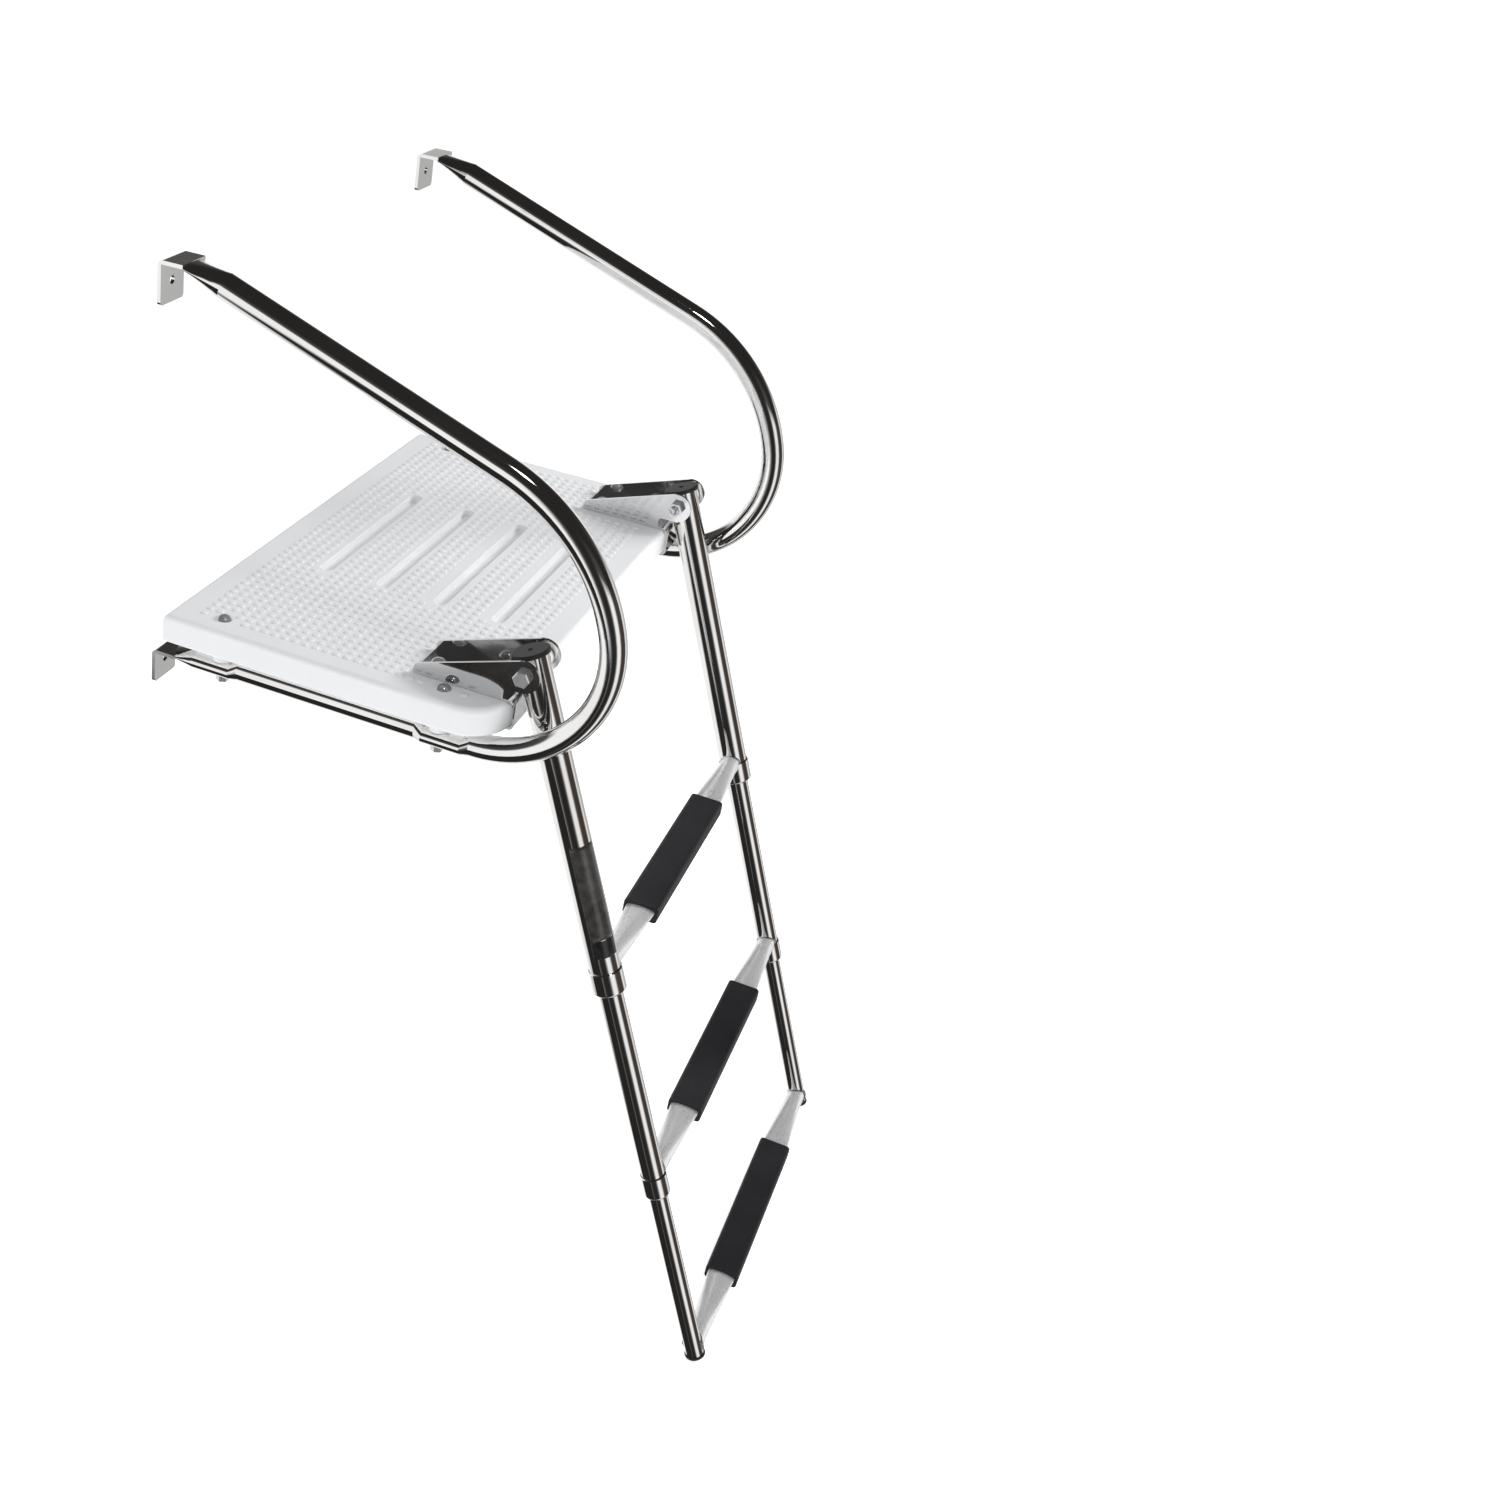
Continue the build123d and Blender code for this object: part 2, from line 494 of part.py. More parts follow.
def guide(x, spigot, inner_r, bore_r):
    """A nylon sleeve on a sliding tube's hidden upper end."""
    with BuildPart(LADDER) as sleeve:
        with Locations((x, 0, spigot + GUIDE_LAP)):
            Cylinder(bore_r - RUNNING, GUIDE_LENGTH, align=UP)
            Cylinder(inner_r, GUIDE_LENGTH, align=UP, mode=Mode.SUBTRACT)
    return sleeve.part


for side, sign in SIDES.items():
    x = sign * STILE_X
    cross = Plane(origin=(x, PIVOT_Y, PIVOT_Z), x_dir=(0, 1, 0), z_dir=(1, 0, 0))
    with BuildPart() as outer_tube:
        add(tube(x, TUBE_ABOVE, RING_1, OUTER_R, OUTER_WALL))
        with Locations(Location(cross)):
            Cylinder(BUSH_D / 2, OUTER_D * 2, mode=Mode.SUBTRACT)
    save(outer_tube.part, f"{side}_outer_tube")
    with BuildPart() as pivot_bush:
        with Locations(Location(cross)):
            Cylinder(BUSH_D / 2, 2 * (EAR_GAP - PIVOT_WASHER_T - SIDE_PLAY))
        for end in (-1, 1):
            with Locations((x + end * (OUTER_R + 0.2 + EAR_GAP - PIVOT_WASHER_T - SIDE_PLAY) / 2, PIVOT_Y, PIVOT_Z)):
                Cylinder(BUSH_COLLAR_D / 2, EAR_GAP - PIVOT_WASHER_T - SIDE_PLAY - OUTER_R - 0.2, rotation=(0, 90, 0))
        with Locations(Location(cross)):
            Cylinder(M8 / 2 + RUNNING, BRACKET_WIDTH, mode=Mode.SUBTRACT)
    save(pivot_bush.part, f"{side}_pivot_bush")
    with BuildPart(LADDER) as top_cap:
        with Locations((x, 0, TUBE_ABOVE)):
            Cylinder(CAP_D / 2, CAP_T, align=UP)
        fillet(top_cap.edges().group_by(STILE_LINE)[-1], 1.4)
        with Locations((x, 0, TUBE_ABOVE)):
            Cylinder(OUTER_R - OUTER_WALL, CAP_PLUG, align=DOWN)
        with Locations((x, 0, TUBE_ABOVE + CAP_T)):
            Cone(0.8, 2.6, 1.2, align=DOWN, mode=Mode.SUBTRACT)
    save(top_cap.part, f"{side}_top_cap")
    save(collar(x, RING_1, OUTER_R, OUTER_WALL, MIDDLE_R), f"{side}_outer_collar")
    save(tube(x, MIDDLE_TOP, RING_2, MIDDLE_R, MIDDLE_WALL), f"{side}_middle_tube")
    save(guide(x, SPIGOT_1, MIDDLE_R, OUTER_R - OUTER_WALL), f"{side}_middle_guide")
    save(collar(x, RING_2, MIDDLE_R, MIDDLE_WALL, LOWER_R), f"{side}_middle_collar")
    save(tube(x, LOWER_TOP, FOOT + FOOT_PLUG_T, LOWER_R, LOWER_WALL), f"{side}_lower_tube")
    save(guide(x, SPIGOT_2, LOWER_R, MIDDLE_R - MIDDLE_WALL), f"{side}_lower_guide")
    with BuildPart(LADDER) as foot_plug:
        with Locations((x, 0, FOOT)):
            Cylinder(LOWER_R + FOOT_PLUG_STEP, FOOT_PLUG_T, align=UP)
        fillet(foot_plug.edges().group_by(STILE_LINE)[0], 1.6)
        with Locations((x, 0, FOOT + FOOT_PLUG_T)):
            Cylinder(LOWER_R - LOWER_WALL, FOOT_PLUG_LENGTH, align=UP)
    save(foot_plug.part, f"{side}_foot_plug")

# ---------------------------------------------------------------- treads
FLAT_X = PAD_LENGTH / 2 + 3


def tread_skin(y, z, radius, half_width, half_height, end):
    """One tread's skin or bore, round at the stiles and pressed flat under the pad."""
    with BuildPart() as skin:
        with BuildSketch(across(-FLAT_X, y, z)):
            Ellipse(half_width, half_height)
        extrude(amount=2 * FLAT_X)
        for s in (-1, 1):
            with BuildSketch(across(s * FLAT_X, y, z)):
                Ellipse(half_width, half_height)
            with BuildSketch(across(s * (STILE_X - TREAD_ROUND_END), y, z)):
                Circle(radius)
            loft()
            with BuildSketch(across(s * (STILE_X - TREAD_ROUND_END), y, z)):
                Circle(radius)
            extrude(amount=s * (TREAD_ROUND_END - end))
    return skin.part


def tread(depth, tube_r, collar_r, name):
    """A tread tube coped to its two stiles, and its pad."""
    y, z = tread_place(depth)
    with BuildPart() as bar:
        add(tread_skin(y, z, TREAD_R, TREAD_HALF_WIDTH, TREAD_HALF_HEIGHT, TREAD_COPE))
        add(tread_skin(y, z, TREAD_R - TREAD_WALL, TREAD_HALF_WIDTH - TREAD_WALL,
                       TREAD_HALF_HEIGHT - TREAD_WALL, TREAD_COPE), mode=Mode.SUBTRACT)
        with Locations(LADDER):
            for s in (-1, 1):
                with Locations((s * STILE_X, 0, depth)):
                    Cylinder(tube_r, 3 * TREAD_D, mode=Mode.SUBTRACT)
                    Cylinder(collar_r, 2 * TREAD_D, align=DOWN, mode=Mode.SUBTRACT)
    save(bar.part, f"{name}_tread_tube")
    pad_z = z + TREAD_HALF_HEIGHT + PAD_SKIN - PAD_THICK / 2
    with BuildPart() as pad:
        with BuildSketch(across(-PAD_LENGTH / 2, y, pad_z)):
            RectangleRounded(PAD_DEPTH, PAD_THICK, PAD_EDGE_R)
            with Locations(*[(e * PAD_DEPTH / 2, up) for e in (-1, 1) for up in PAD_GROOVES]):
                Rectangle(2 * PAD_GROOVE_CUT, PAD_GROOVE_WIDTH, mode=Mode.SUBTRACT)
            with Locations((0, z - pad_z)):
                Ellipse(TREAD_HALF_WIDTH, TREAD_HALF_HEIGHT, mode=Mode.SUBTRACT)
            with Locations((0, z - pad_z)):
                Rectangle(2 * TREAD_HALF_WIDTH, z - pad_z + PAD_THICK / 2 - PAD_LIP,
                          align=(Align.CENTER, Align.MAX), mode=Mode.SUBTRACT)
            with Locations((0, -PAD_THICK / 2)):
                Rectangle(PAD_SLOT, PAD_THICK, mode=Mode.SUBTRACT)
        extrude(amount=PAD_LENGTH)
    save(pad.part, f"{name}_tread_pad")


tread(RING_1, OUTER_R, OUTER_R + COLLAR_STEP, "top")
tread(RING_2, MIDDLE_R, MIDDLE_R + COLLAR_STEP, "middle")
tread(TREAD_3, LOWER_R, LOWER_R, "bottom")
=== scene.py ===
"""Looks of the boat boarding ladder: finishes, grip, weld beads, label film, strap, floor, light and camera.

Metres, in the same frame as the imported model: +X starboard, +Y forward into the transom, +Z up.
"""

import json
from math import cos, hypot, pi, radians, sin, sqrt

import bmesh
import bpy
from mathutils import Matrix, Vector


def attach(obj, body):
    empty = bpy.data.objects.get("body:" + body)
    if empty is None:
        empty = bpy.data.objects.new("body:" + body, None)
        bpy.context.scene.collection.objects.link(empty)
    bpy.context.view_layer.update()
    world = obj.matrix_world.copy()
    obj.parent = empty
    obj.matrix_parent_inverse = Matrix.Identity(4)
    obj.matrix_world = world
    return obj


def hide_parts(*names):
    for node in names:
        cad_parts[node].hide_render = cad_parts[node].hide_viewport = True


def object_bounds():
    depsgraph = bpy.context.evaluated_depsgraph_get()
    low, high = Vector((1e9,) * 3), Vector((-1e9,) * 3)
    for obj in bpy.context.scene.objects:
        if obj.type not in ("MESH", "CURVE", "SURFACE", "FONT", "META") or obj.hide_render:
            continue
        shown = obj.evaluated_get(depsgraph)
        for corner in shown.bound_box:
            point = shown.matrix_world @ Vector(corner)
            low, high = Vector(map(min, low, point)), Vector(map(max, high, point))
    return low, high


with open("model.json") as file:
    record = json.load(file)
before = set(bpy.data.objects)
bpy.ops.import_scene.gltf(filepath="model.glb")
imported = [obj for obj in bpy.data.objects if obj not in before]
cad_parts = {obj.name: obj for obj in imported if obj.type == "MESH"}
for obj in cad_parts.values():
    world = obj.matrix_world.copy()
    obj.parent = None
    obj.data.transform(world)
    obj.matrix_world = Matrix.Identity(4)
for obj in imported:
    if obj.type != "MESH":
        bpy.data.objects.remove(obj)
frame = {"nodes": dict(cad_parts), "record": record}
NODES = frame["nodes"]
CAD_BOX = [list(map(float, corner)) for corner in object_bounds()]

# ---------------------------------------------------------------- sizes repeated from the design, in metres
BOARD_HALF = 0.2525
BOARD_FWD, BOARD_AFT, BOARD_TOP = -0.014, -0.317, -0.110
RAIL_X, RAIL_Z, RAIL_R = 0.230, -0.152, 0.011
BOLT_YS = (-0.060, -0.262)
STILE_X, PIVOT_Y, PIVOT_Z = 0.198, -0.3244, -0.084
TILT = radians(21.2)
OUTER_R = 0.014
TREADS = (("top", 0.284, 0.014, "upper_section"), ("middle", 0.505, 0.011, "middle_section"),
          ("bottom", 0.709, 0.009, "lower_section"))
TREAD_R = 0.0095
UP_STILE = Vector((0, sin(TILT), cos(TILT)))
AFT_STILE = Vector((0, -cos(TILT), sin(TILT)))


# ---------------------------------------------------------------- materials
class Graph:
    """A material's or world's nodes, with short calls to add and join them."""

    def __init__(self, tree):
        self.tree = tree
        tree.nodes.clear()

    def add(self, kind, **values):
        node = self.tree.nodes.new(kind)
        for key, value in values.items():
            if hasattr(node, key):
                setattr(node, key, value)
            else:
                node.inputs[key.replace("_", " ")].default_value = value
        return node

    def join(self, a, b):
        self.tree.links.new(a, b)

    def maths(self, operation, a, b=0.0, clamp=False):
        node = self.add("ShaderNodeMath", operation=operation, use_clamp=clamp)
        for i, value in enumerate((a, b)):
            if isinstance(value, bpy.types.NodeSocket):
                self.join(value, node.inputs[i])
            else:
                node.inputs[i].default_value = value
        return node.outputs[0]

    def span(self, value, a, b, c, d):
        """Carries a value from the range a to b over to c to d."""
        node = self.add("ShaderNodeMapRange")
        self.join(value, node.inputs[0])
        for i, number in enumerate((a, b, c, d)):
            node.inputs[i + 1].default_value = number
        return node.outputs[0]

    def noise(self, scale, detail=2.0, rough=0.5, stretch=None):
        place = self.add("ShaderNodeTexCoord").outputs["Object"]
        if stretch:
            mapping = self.add("ShaderNodeMapping")
            mapping.inputs["Scale"].default_value = stretch
            self.join(place, mapping.inputs[0])
            place = mapping.outputs[0]
        node = self.add("ShaderNodeTexNoise", Scale=scale, Detail=detail, Roughness=rough)
        self.join(place, node.inputs["Vector"])
        return node.outputs[0]

    def blend(self, factor, a, b):
        """A colour between two colours."""
        node = self.add("ShaderNodeMix", data_type="RGBA")
        self.join(factor, node.inputs[0])
        node.inputs[6].default_value = (*a, 1)
        node.inputs[7].default_value = (*b, 1)
        return node.outputs[2]

    def bump(self, height, strength, distance, under=None):
        node = self.add("ShaderNodeBump", Strength=strength, Distance=distance)
        self.join(height, node.inputs["Height"])
        if under:
            self.join(under, node.inputs["Normal"])
        return node.outputs[0]


def finish(name, **sockets):
    """A material with a Principled shader, and its graph."""
    material = bpy.data.materials.new(name)
    material.use_nodes = True
    graph = Graph(material.node_tree)
    shader = graph.add("ShaderNodeBsdfPrincipled")
    for key, value in sockets.items():
        shader.inputs[key.replace("_", " ")].default_value = value
    graph.join(shader.outputs[0], graph.add("ShaderNodeOutputMaterial").inputs[0])
    return material, graph, shader


def polished(name, low, high, rough, marks=0.05, wave=0.012):
    """Mirror-polished stainless: slight buffing waves, hairline marks, cloudy patches of polish."""
    material, g, shader = finish(name, Metallic=1.0)
    cloud = g.noise(14, 3)
    hair = g.noise(3, 4, 0.7, (30, 900, 60))
    fine = g.noise(900, 2, 0.6)
    g.join(g.blend(g.span(cloud, 0.3, 0.7, 0, 1), low, high), shader.inputs["Base Color"])
    lines = g.span(hair, 0.6, 0.72, 0, marks)
    base = g.span(cloud, 0.3, 0.75, rough * 0.7, rough * 1.5)
    g.join(g.maths("ADD", base, lines), shader.inputs["Roughness"])
    soft = g.bump(g.noise(55, 2), wave, 0.002)
    g.join(g.bump(fine, 0.015, 0.0002, soft), shader.inputs["Normal"])
    return material


def brushed(name, low, high, rough, stretch=(900, 40, 40), strength=0.08, metal=1.0):
    """Satin stainless with a directional grain; metal under 1 keeps some of its own pale colour."""
    material, g, shader = finish(name, Metallic=metal)
    grain = g.noise(1, 5, 0.65, stretch)
    cloud = g.noise(30, 3)
    g.join(g.blend(g.span(grain, 0.25, 0.75, 0, 1), low, high), shader.inputs["Base Color"])
    base = g.span(grain, 0.2, 0.8, rough * 0.75, rough * 1.3)
    g.join(g.maths("ADD", base, g.span(cloud, 0.4, 0.7, 0, 0.05)), shader.inputs["Roughness"])
    g.join(g.bump(grain, strength, 0.0004), shader.inputs["Normal"])
    return material


def moulded(name, low, high, rough, grain_scale, grain, spots=0.0, **sockets):
    """Moulded plastic or rubber with a fine skin and slight colour drift."""
    material, g, shader = finish(name, **sockets)
    drift = g.noise(9, 3)
    skin = g.noise(grain_scale, 3, 0.6)
    g.join(g.blend(g.span(drift, 0.3, 0.7, 0, 1), low, high), shader.inputs["Base Color"])
    base = g.span(drift, 0.3, 0.7, rough * 0.9, rough * 1.1)
    g.join(g.maths("ADD", base, g.span(skin, 0.45, 0.75, 0, spots)), shader.inputs["Roughness"])
    flow = g.bump(g.noise(38, 2), 0.03, 0.003)
    g.join(g.bump(skin, grain, 0.0003, flow), shader.inputs["Normal"])
    return material


TUBE = polished("polished_tube", (0.80, 0.79, 0.78), (0.88, 0.875, 0.87), 0.055)
COLLAR = polished("polished_collar", (0.82, 0.81, 0.80), (0.90, 0.895, 0.89), 0.05)
SHEET = polished("polished_sheet", (0.74, 0.74, 0.74), (0.82, 0.82, 0.825), 0.075, 0.09, 0.02)
TREAD = brushed("satin_tread", (0.88, 0.878, 0.875), (0.94, 0.94, 0.94), 0.27, (20, 260, 260), 0.012, 0.60)
FASTENER = brushed("fastener_steel", (0.62, 0.62, 0.63), (0.80, 0.80, 0.81), 0.15, (700, 700, 90), 0.05, 0.72)
WELD = brushed("weld_bead", (0.62, 0.60, 0.58), (0.82, 0.81, 0.80), 0.22, (400, 400, 400), 0.12)
WHITE = moulded("white_polyethylene", (0.83, 0.84, 0.85), (0.87, 0.875, 0.88), 0.42, 1300, 0.10, 0.06,
                Subsurface_Weight=0.06, Subsurface_Radius=(0.004, 0.004, 0.004), Subsurface_Scale=1.0,
                IOR=1.5)
NYLON = moulded("white_nylon", (0.76, 0.75, 0.70), (0.82, 0.81, 0.77), 0.45, 900, 0.08, 0.05)
PLASTIC = moulded("black_plastic", (0.012, 0.012, 0.013), (0.024, 0.024, 0.026), 0.42, 1500, 0.18, 0.10)
RUBBER = moulded("black_tread", (0.010, 0.010, 0.012), (0.022, 0.022, 0.025), 0.50, 1700, 0.35, 0.14)


WARP_PITCH, PICK_PITCH = 1.25, 0.9  # of the webbing's weave, in millimetres


def webbing_finish():
    """Woven tape: warp cords along it and weft picks across it, by its UV map in millimetres, with painted
    shade in the weave's valleys.
    """
    material, g, shader = finish("black_webbing", Sheen_Weight=0.35, Sheen_Roughness=0.5)
    shader.inputs["Sheen Tint"].default_value = (0.5, 0.5, 0.55, 1)
    place = g.add("ShaderNodeUVMap").outputs[0]
    split = g.add("ShaderNodeSeparateXYZ")
    g.join(place, split.inputs[0])
    along = g.maths("MULTIPLY", split.outputs[0], pi / PICK_PITCH)
    across = g.maths("MULTIPLY", split.outputs[1], pi / WARP_PITCH)
    warp = g.maths("ABSOLUTE", g.maths("SINE", across))
    pick = g.maths("ABSOLUTE", g.maths("SINE", g.maths("ADD", along, across)))
    weave = g.maths("MULTIPLY", warp, pick)
    fuzz = g.noise(1500, 2, 0.7)
    # The weave's relief drives the bump. The colour uses the same relief: painted shade, darker in the
    # valleys between the cords and lighter on their crowns. The fuzz noise adds a random tone.
    weave_relief_and_shade = g.maths("ADD", g.maths("MULTIPLY", weave, 0.7), g.maths("MULTIPLY", fuzz, 0.3))
    g.join(g.blend(weave_relief_and_shade, (0.004, 0.004, 0.005), (0.030, 0.030, 0.034)), shader.inputs["Base Color"])
    g.join(g.span(weave_relief_and_shade, 0, 1, 0.9, 0.62), shader.inputs["Roughness"])
    g.join(g.bump(weave_relief_and_shade, 0.5, 0.0004), shader.inputs["Normal"])
    return material


WEBBING = webbing_finish()


def film_finish(name, low, high, rough, **sockets):
    """Dark label film without marks, slightly rippled over the tube."""
    material, g, shader = finish(name, **sockets)
    cloud = g.noise(120, 3)
    g.join(g.blend(g.span(cloud, 0.3, 0.7, 0, 1), low, high), shader.inputs["Base Color"])
    g.join(g.span(cloud, 0.3, 0.7, rough * 0.8, rough * 1.3), shader.inputs["Roughness"])
    g.join(g.bump(g.noise(260, 2), 0.10, 0.0003), shader.inputs["Normal"])
    return material


FILM = film_finish("label_film", (0.05, 0.047, 0.045), (0.10, 0.096, 0.092), 0.20, Metallic=0.5)
BAND = film_finish("label_band", (0.008, 0.008, 0.009), (0.018, 0.018, 0.020), 0.22)

LOOKS = {"white_polyethylene": WHITE, "polished_tube": TUBE, "polished_collar": COLLAR,
         "polished_sheet": SHEET, "satin_tread": TREAD, "fastener_steel": FASTENER, "black_plastic": PLASTIC,
         "black_tread": RUBBER, "white_nylon": NYLON, "black_webbing": WEBBING}
for part in frame["record"]["subparts"]:
    thing = NODES[part["node"]]
    if not thing.material_slots:
        thing.data.materials.append(LOOKS[part["material_slot"]])
    for slot in thing.material_slots:
        slot.material = LOOKS[part["material_slot"]]


# ---------------------------------------------------------------- mesh helpers
def piece(name, bm, material, body, smooth=True):
    """A finished mesh object that rides on a body."""
    bmesh.ops.recalc_face_normals(bm, faces=bm.faces)
    mesh = bpy.data.meshes.new(name)
    bm.to_mesh(mesh)
    bm.free()
    for face in mesh.polygons:
        face.use_smooth = smooth
    thing = bpy.data.objects.new(name, mesh)
    bpy.context.scene.collection.objects.link(thing)
    mesh.materials.append(material)
    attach(thing, body)
    return thing


def rings(bm, loops, closed=False, caps=True):
    """Skins a row of equal vertex loops."""
    made = [[bm.verts.new(p) for p in loop] for loop in loops]
    count = len(made[0])
    pairs = list(zip(made, made[1:])) + ([(made[-1], made[0])] if closed else [])
    for a, b in pairs:
        for i in range(count):
            j = (i + 1) % count
            bm.faces.new((a[i], a[j], b[j], b[i]))
    if caps and not closed:
        bm.faces.new(list(reversed(made[0])))
        bm.faces.new(made[-1])
    return made


def along_stile(x, depth, angle=0.0, radius=0.0):
    """A point this far below the pivot and out from the stile's axis; in degrees, 0 is +X and 90 is aft."""
    return (Vector((x, PIVOT_Y, PIVOT_Z)) - UP_STILE * depth
            + Vector((1, 0, 0)) * radius * cos(angle) + AFT_STILE * radius * sin(angle))


# ---------------------------------------------------------------- moulded grip squares on the board
GRIP_PITCH, GRIP_HALF, GRIP_HIGH = 0.0096, 0.0029, 0.00075
GRIP_EDGE = 0.0165
GRIP_SINK = -0.0001  # where a square's foot starts, just inside the board
# each ring of a square from foot to top: shares of its half width, its corner cut and its height
GRIP_RINGS = ((1.12, 0.30, 0.0), (1.0, 0.30, 0.25), (0.86, 0.28, 0.80), (0.66, 0.25, 1.0))
GROOVES = [(-0.085 - 0.056 * i) for i in range(4)]


def grip_here(x, y):
    """Whether a square has room here: inside the rounded outline, clear of grooves, bolts and brackets."""
    inset = GRIP_EDGE + GRIP_HALF
    if abs(x) > BOARD_HALF - inset or not BOARD_AFT + inset < y < BOARD_FWD - inset:
        return False
    corner_x, corner_y = BOARD_HALF - 0.040, BOARD_AFT + 0.040
    if abs(x) > corner_x and y < corner_y and hypot(abs(x) - corner_x, y - corner_y) > 0.040 - inset:
        return False
    for groove in GROOVES:
        if hypot(max(abs(x) - 0.0935, 0), y - groove) < 0.0065 + 0.0062:
            return False
    for bolt in BOLT_YS:
        if hypot(abs(x) - RAIL_X, y - bolt) < 0.0060 + 0.0042:
            return False
    return not (abs(abs(x) - STILE_X) < 0.024 + 0.0042 and y < -0.231 + 0.0048)


grip = bmesh.new()
columns = int(BOARD_HALF / GRIP_PITCH)
rows = int(0.151 / GRIP_PITCH)
for i in range(-columns, columns + 1):
    for j in range(-rows, rows + 1):
        cx, cy = i * GRIP_PITCH, (BOARD_FWD + BOARD_AFT) / 2 + j * GRIP_PITCH
        if grip_here(cx, cy):
            loops = []
            for half, cut, high in GRIP_RINGS:
                s, c = GRIP_HALF * half, GRIP_HALF * cut
                z = BOARD_TOP + (GRIP_HIGH * high if high else GRIP_SINK)
                outline = ((s, c - s), (s, s - c), (s - c, s), (c - s, s),
                           (-s, s - c), (-s, c - s), (c - s, -s), (s - c, -s))
                loops.append([(cx + a, cy + b, z) for a, b in outline])
            rings(grip, loops)
piece("board_grip_squares", grip, WHITE, "platform")

# ---------------------------------------------------------------- weld beads where the treads meet the stiles
WELD_TOP = TREAD_R + 0.0003  # dressed flush on top, so the collar above can close onto the tread
for name, depth, stile_r, body in TREADS:
    for side, sign in (("port", -1), ("starboard", 1)):
        centre = along_stile(0, depth)
        reach = TREAD_R + 0.0004

        def seam(turn):
            """A point of the line where the tread's skin meets the stile's."""
            offset = Vector((0, cos(turn), sin(turn))) * reach
            lateral = offset.dot(AFT_STILE)
            gap = sqrt(max(stile_r ** 2 - lateral ** 2, 1e-9))
            return centre + offset + Vector((sign * (STILE_X - gap), 0, 0))

        bead = bmesh.new()
        loops = []
        steps = 132
        for k in range(steps):
            turn = 2 * pi * k / steps
            here, ahead, back = seam(turn), seam(turn + 0.02), seam(turn - 0.02)
            tangent = (ahead - back).normalized()
            outward = Vector((0, cos(turn), sin(turn)))
            outward = (outward - tangent * outward.dot(tangent)).normalized()
            side_way = tangent.cross(outward)
            swell = 0.00105 * (1 + 0.10 * sin(turn * 33) + 0.05 * sin(turn * 7 + depth * 40))
            loop = [here + outward * swell * cos(a) + side_way * swell * 1.25 * sin(a)
                    for a in [2 * pi * q / 10 for q in range(10)]]
            loops.append([p - UP_STILE * max(0.0, (p - centre).dot(UP_STILE) - WELD_TOP) for p in loop])
        rings(bead, loops, closed=True)
        piece(f"{side}_{name}_weld", bead, WELD, body)


# ---------------------------------------------------------------- label film on the port outer tube
def film(name, top, bottom, start, end, lift, thick, material):
    """A thin film wrapped part of the way round the port outer tube, thinner at its rim."""
    bm = bmesh.new()
    wide, tall = 40, 24
    grid = {}
    for shell in (0, 1):
        for i in range(wide + 1):
            for j in range(tall + 1):
                u, v = i / wide, j / tall
                round_off = 0.5 if i in (0, wide) or j in (0, tall) else 1.0
                angle = radians(start + (end - start) * u)
                depth = top + (bottom - top) * v
                radius = OUTER_R + lift + (thick * round_off if shell else 0)
                grid[shell, i, j] = bm.verts.new(along_stile(-STILE_X, depth, angle, radius))
    for shell in (0, 1):
        for i in range(wide):
            for j in range(tall):
                bm.faces.new((grid[shell, i, j], grid[shell, i + 1, j], grid[shell, i + 1, j + 1],
                              grid[shell, i, j + 1]))
    rim = ([(i, 0) for i in range(wide)] + [(wide, j) for j in range(tall)]
           + [(i, tall) for i in range(wide, 0, -1)] + [(0, j) for j in range(tall, 0, -1)])
    for (a, b), (c, d) in zip(rim, rim[1:] + rim[:1]):
        bm.faces.new((grid[0, a, b], grid[0, c, d], grid[1, c, d], grid[1, a, b]))
    return piece(name, bm, material, "upper_section")


film("port_label_film", 0.160, 0.2505, 86, 182, 0.00003, 0.00012, FILM)
film("port_label_band", 0.2512, 0.268, 86, 184, 0.00003, 0.00018, BAND)

# ---------------------------------------------------------------- retaining strap, hung on the starboard rail
STRAP_Y, STRAP_W, STRAP_T, STRAP_DROP = -0.165, 0.025, 0.0018, 0.118
INNER = RAIL_R + 0.0004


def strap_line(s):
    """The tape's centre and outward direction, in X and Z, at a share s of the way round the loop."""
    r = INNER + STRAP_T / 2
    low_r = r - 0.0022
    straight, top_arc, low_arc = STRAP_DROP, pi * r, pi * low_r
    total = 2 * straight + top_arc + low_arc
    d = (s % 1.0) * total
    if d < top_arc:
        a = d / r
        return RAIL_X + r * cos(a), RAIL_Z + r * sin(a), cos(a), sin(a)
    d -= top_arc
    if d < straight:
        t = d / straight
        w = r + (low_r - r) * (3 * t * t - 2 * t ** 3) - 0.0008 * sin(pi * t)
        return RAIL_X - w, RAIL_Z - d, -1.0, 0.0
    d -= straight
    if d < low_arc:
        a = pi + d / low_r
        return RAIL_X + low_r * cos(a), RAIL_Z - straight + low_r * sin(a), cos(a), sin(a)
    d -= low_arc
    t = 1 - d / straight
    w = r + (low_r - r) * (3 * t * t - 2 * t ** 3) + 0.0004 * sin(pi * t)
    return RAIL_X + w, RAIL_Z - straight + d, 1.0, 0.0


STRAP_LENGTH = 2 * STRAP_DROP + pi * (2 * INNER + STRAP_T - 0.0022)


SELVEDGE = 0.0009


def tape_section(half, thick, count=16):
    """Cross-section of woven tape: flat faces with soft selvedges, as (across, through) pairs."""
    flat = [(-half + SELVEDGE + (2 * half - 2 * SELVEDGE) * k / count) for k in range(count + 1)]
    edge = [(half - SELVEDGE + SELVEDGE * sin(radians(q)), thick / 2 * cos(radians(q)))
            for q in (30, 60, 90, 120, 150)]
    return ([(a, thick / 2) for a in flat] + edge + [(a, -thick / 2) for a in reversed(flat)]
            + [(-a, -b) for a, b in edge])


